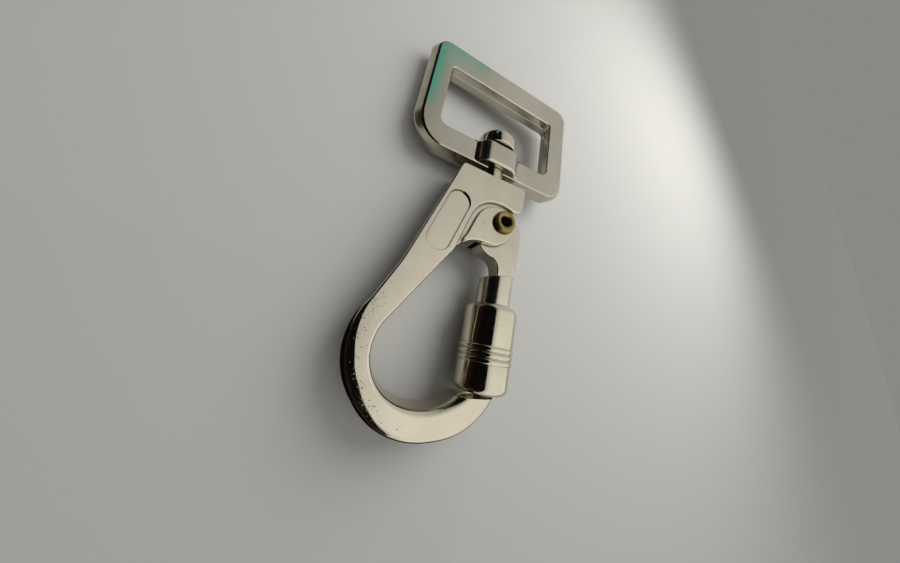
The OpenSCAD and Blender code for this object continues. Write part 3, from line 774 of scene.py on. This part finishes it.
# scales are per metre, lengths in metres
castLook = {
    "colour": (0.69, 0.645, 0.53, 1),
    "shade": (0.64, 0.59, 0.47, 1),
    "rough": 0.1,
    "roughSmear": 0.14,
    "smear": 0.6,
    "waveScale": 190.0,
    "peelScale": 1500.0,
    "waveDepth": 0.6,
    "bump": 0.35,
    "bumpHigh": 0.0001,
    "crevice": 0.0006,      # reach of the painted crevice shade and of the lighter worn, highlighted edges
    # painted shade in the crevices: its band and its strength
    "shadeBand": (0.46, 0.86),
    "creviceShade": 0.85,
    # lighter edges, worn plating and painted highlight: band, strength and colour
    "edgeBand": (0.3, 0.6),
    "edgeWearAndHighlight": 0.35,
    "edgeWearAndHighlightColour": (0.78, 0.74, 0.66, 1),
    "pitScale": 3000.0,
    "pitAmount": 0.01,      # share of the cells that hold a pit
    "pitCrowd": 0.85,       # the same, added inside the ring below
    "pitDepth": 0.8,
    # colour of the pits, also used for the painted shade in the crevices
    "pitAndShadeColour": (0.05, 0.04, 0.03, 1),
    "pitRing": (0.0094, 0.0107, 0.0121),   # radius where the crowd begins, is thickest and ends
    "pitLeft": (-0.003, -0.007),
    "pitBelow": (0.004, 0.009),
}
loopLook = dict(castLook, colour=(0.58, 0.55, 0.455, 1), shade=(0.52, 0.49, 0.4, 1), rough=0.15,
                pitAmount=0.015)
loopLook.pop("pitRing")
gateLook = dict(loopLook, colour=(0.68, 0.635, 0.53, 1), shade=(0.62, 0.57, 0.46, 1), pitAmount=0.02)
sleeveLook = dict(loopLook, colour=(0.66, 0.62, 0.5, 1), shade=(0.61, 0.57, 0.45, 1), rough=0.07,
                  roughSmear=0.12, waveScale=120.0, waveDepth=0.5, bump=0.22, pitAmount=0.03)
rivetLook = dict(loopLook, colour=(0.42, 0.33, 0.12, 1), shade=(0.3, 0.22, 0.07, 1), rough=0.3,
                 roughSmear=0.25, waveScale=900.0, bump=0.4, pitAmount=0.05)
wireLook = dict(loopLook, colour=(0.5, 0.49, 0.47, 1), shade=(0.4, 0.39, 0.37, 1), rough=0.3)

castMetal = platedMetal("nickelCast", castLook)
loopMetal = platedMetal("nickelLoop", loopLook)
gateMetal = platedMetal("nickelGate", gateLook)
sleeveMetal = platedMetal("nickelMirror", sleeveLook)
rivetMetal = platedMetal("rivetBrass", rivetLook)
wireMetal = platedMetal("springWire", wireLook)


# one material for the whole piece
def dress(piece, material):
    piece.data.materials.clear()
    piece.data.materials.append(material)


for piece, material in ((hookBody, castMetal), (gateArm, gateMetal), (lockSleeve, sleeveMetal),
                        (hingeRivet, rivetMetal), (strapLoop, loopMetal), (swivelStud, sleeveMetal),
                        (frame["nodes"]["gate_spring"], wireMetal)):
    dress(piece, material)
print("finishes set")

# floor, lights and backdrop; lengths in millimetres except for the lamp's, in metres
room = {
    "floorColour": (0.4, 0.4, 0.388, 1),
    "floorSpan": 900,
    "floorGap": 0.02,
    "grain": 0.015,         # share by which the paper's tone goes up and down
    "backdrop": (0.255, 0.253, 0.235, 1),
    "backRadius": 850,
    "backTurn": (-70, 140),   # degrees
    "backHigh": (-150, 500),
    "skyColour": (1.0, 0.985, 0.95, 1),
    "skyBright": 0.97,
    "skyLeft": 0.18,
    "skyStep": (-0.4, 0.3),   # from dark to bright, along X
    "skyFar": (-0.2, 0.8, 1.0, 0.62),   # from, to, and the strength at each, along Y
    # dark half dome on the left, seen only by the metal: a painted reflection of a dark room side, brownish
    # near the floor (darkLow) and black higher up (darkHigh)
    "domeRadius": 500,
    "darkFrom": -0.05,      # the dark half dome begins this far left of straight up
    "domeTurn": (-0.12, 1.12),   # half turns
    "darkHigh": (0.003, 0.003, 0.003, 1),
    "darkLow": (0.022, 0.009, 0.006, 1),
    "darkStep": (0.05, 0.3),     # metres
    # mint cards: glowing green sheets above the object, seen only by the metal, that paint mint reflections
    # on its roundings
    "mintReflection": (0.09, 0.5, 0.42, 1),
    "mintReflectionSpans": (((-16, -6.3), (84, 119)), ((-6.3, 13), (112, 119))),
    "mintReflectionHigh": 33,
    "lampPower": 0.36,
    "lampSize": 0.16,
    "lampAt": (0.115, 0.115, 0.11),
    "lampTo": (0, 0.02, 0),
    "lampColour": (1.0, 0.98, 0.95),
    # black sheets on the floor, seen only by the metal: painted shade of the shadowed floor in its
    # reflections
    "flags": (((-400, -13.0), (-200, 9)), ((-13.0, 14), (-60, -13.6))),   # black cards outside the bow
    "flagColour": (0.002, 0.002, 0.002, 1),
}


# the plane that the sleeve, the stud's head and the bow's back edge rest on: z = a x + b y + c
def restPlane():
    spots = np.array([[sleeveHigh[0] - 4.9, 3.0, sleeveLow[2]], [swivelX, 44.0, studLow[2]],
                      [bodyLow[0] + 1.6, -4.0, bodyLow[2]]])
    return np.linalg.solve(np.c_[spots[:, :2], np.ones(3)], spots[:, 2])


# paper under the object, just below the plane that it rests on
def makeFloor():
    a, b, c = restPlane()
    u = np.linspace(-room["floorSpan"], room["floorSpan"], 7)
    x, y = np.meshgrid(u, u)
    points = np.stack([x, y, a * x + b * y + c - room["floorGap"]], axis=-1).reshape(-1, 3)
    mesh = bpy.data.meshes.new("floor")
    mesh.from_pydata((points * mm).tolist(), [], gridQuads(7, 7, closeCols=False))
    floor = bpy.data.objects.new("floor", mesh)
    sceneRoot.objects.link(floor)
    material, tree, shader, where = newMaterial("paper")
    grain = noiseNode(tree, where.outputs["Object"], 900.0, 4.0, 0.6)
    dark, light = ([v * (1 + k * room["grain"]) for v in room["floorColour"][:3]] + [1] for k in (-1, 1))
    feed(tree, shader.inputs["Base Color"], mixColours(tree, grain, dark, light))
    shader.inputs["Roughness"].default_value = 0.85
    dress(floor, material)


makeFloor()


# world: strength = the step from the dark left to the bright right, times a fall towards far Y
def makeWorld():
    world = bpy.data.worlds.new("softRoom")
    bpy.context.scene.world = world
    world.use_nodes = True
    tree = world.node_tree
    back = next(n for n in tree.nodes if n.type == "BACKGROUND")
    where = tree.nodes.new("ShaderNodeTexCoord")
    axes = tree.nodes.new("ShaderNodeSeparateXYZ")
    feed(tree, axes.inputs[0], where.outputs["Generated"])
    right = spread(tree, axes.outputs["X"], *room["skyStep"], room["skyLeft"], room["skyBright"])
    far = spread(tree, axes.outputs["Y"], *room["skyFar"])
    back.inputs["Color"].default_value = room["skyColour"]
    feed(tree, back.inputs["Strength"], mathNode(tree, "MULTIPLY", right, far))


makeWorld()


# round soft lamp turned towards the middle of the object, not seen in the metal
def makeLamp():
    light = bpy.data.lights.new("softbox", "AREA")
    light.shape, light.size = "DISK", room["lampSize"]
    light.energy = room["lampPower"]
    light.color = room["lampColour"]
    lamp = bpy.data.objects.new("softbox", light)
    sceneRoot.objects.link(lamp)
    lamp.location = room["lampAt"]
    lamp.visible_glossy = False
    lamp.rotation_euler = (Vector(room["lampTo"]) - lamp.location).to_track_quat("-Z", "Y").to_euler()


makeLamp()


# stage piece that only the metal's reflections meet
def mirrorOnly(name, points, faces, material):
    mesh = bpy.data.meshes.new(name)
    mesh.from_pydata((np.asarray(points, float) * mm).tolist(), [], faces)
    card = bpy.data.objects.new(name, mesh)
    sceneRoot.objects.link(card)
    card.visible_camera = card.visible_diffuse = card.visible_shadow = card.visible_transmission = False
    dress(card, material)
    return card


# light of its own, whose colour goes from low to high between two heights in metres
def glow(name, low, high, fromZ, toZ):
    material, tree, shader, where = newMaterial(name)
    axes = tree.nodes.new("ShaderNodeSeparateXYZ")
    feed(tree, axes.inputs[0], where.outputs["Object"])
    shade = mixColours(tree, spread(tree, axes.outputs["Z"], fromZ, toZ), low, high)
    feed(tree, shader.inputs["Emission Color"], shade)
    shader.inputs["Emission Strength"].default_value = 1.0
    shader.inputs["Base Color"].default_value = (0, 0, 0, 1)
    shader.inputs["Roughness"].default_value = 1.0
    shader.inputs["Specular IOR Level"].default_value = 0.0
    return material


# black flags near the floor, a dark half dome on the left and two mint cards above, for the metal to mirror:
# painted shade of the floor, and painted reflections of a dark room side and of a mint light
def makeCards():
    a, b, c = restPlane()
    # flags: painted shade of the floor next to the bow, seen only in reflections
    black = glow("floorShadeCard", room["flagColour"], room["flagColour"], 0, 1)
    for k, ((x0, x1), (y0, y1)) in enumerate(room["flags"]):
        corners = ((x0, y0), (x1, y0), (x1, y1), (x0, y1))
        mirrorOnly("flag%d" % k, [[x, y, a * x + b * y + c + 0.1] for x, y in corners], [(0, 1, 2, 3)], black)
    # dome: unit directions with x below the limit, on a grid of two angles
    u, v = np.meshgrid(np.linspace(math.acos(room["darkFrom"]), np.pi, 25),
                       np.linspace(*room["domeTurn"], 49) * np.pi, indexing="ij")
    dome = np.stack([np.cos(u), np.sin(u) * np.cos(v), np.sin(u) * np.sin(v)], axis=-1).reshape(-1, 3)
    # painted reflection: the dome's own dark glow, brownish low down and black above
    dark = glow("darkRoomReflection", room["darkLow"], room["darkHigh"], *room["darkStep"])
    mirrorOnly("darkSideReflection", room["domeRadius"] * dome, gridQuads(25, 49, closeCols=False), dark)
    # mint cards: glowing sheets that paint mint reflections on the metal
    z, mintReflection = room["mintReflectionHigh"], glow("mintReflectionGlow", room["mintReflection"], room["mintReflection"], 0, 1)
    for k, ((x0, x1), (y0, y1)) in enumerate(room["mintReflectionSpans"]):
        corners = ((x0, y0), (x1, y0), (x1, y1), (x0, y1))
        mirrorOnly("mintReflectionCard%d" % k, [[x, y, z] for x, y in corners], [(0, 1, 2, 3)], mintReflection)


makeCards()


# far backdrop in the floor's own tone, seen by the camera alone: part of an upright cylinder
def makeBackdrop():
    r, tone = room["backRadius"], room["backdrop"]
    t, z = np.meshgrid(np.radians(np.linspace(*room["backTurn"], 43)), room["backHigh"])
    points = np.stack([r * np.cos(t), r * np.sin(t), z], axis=-1).reshape(-1, 3)
    glowing = glow("backdropTone", tone, tone, 0, 1)
    sheet = mirrorOnly("backdrop", points, gridQuads(2, 43, closeCols=False), glowing)
    sheet.visible_camera, sheet.visible_glossy = True, False


makeBackdrop()

view = {
    "at": (-10.711, 2.344, 37.834),   # mm
    "right": (0.9118, 0.1806, 0.3688),
    "down": (0.2589, -0.9499, -0.1751),
    "forward": (0.3187, 0.2551, -0.9129),
    "lens": 9.121,
    "shift": (-0.0022222, -0.0038889),
}


# camera from its place and its three directions; the lens is in mm for a sensor 36 mm wide
def makeCamera():
    data = bpy.data.cameras.new("view")
    data.sensor_fit, data.sensor_width, data.lens = "HORIZONTAL", 36.0, view["lens"]
    data.shift_x, data.shift_y = view["shift"]
    data.clip_start, data.clip_end = 0.001, 10.0
    camera = bpy.data.objects.new("view", data)
    sceneRoot.objects.link(camera)
    axes = Matrix([view["right"], [-v for v in view["down"]], [-v for v in view["forward"]]]).transposed()
    camera.matrix_world = Matrix.Translation([v * mm for v in view["at"]]) @ axes.to_4x4()
    bpy.context.scene.camera = camera


makeCamera()
bpy.context.scene.view_settings.view_transform = "Standard"
print("room and camera set")
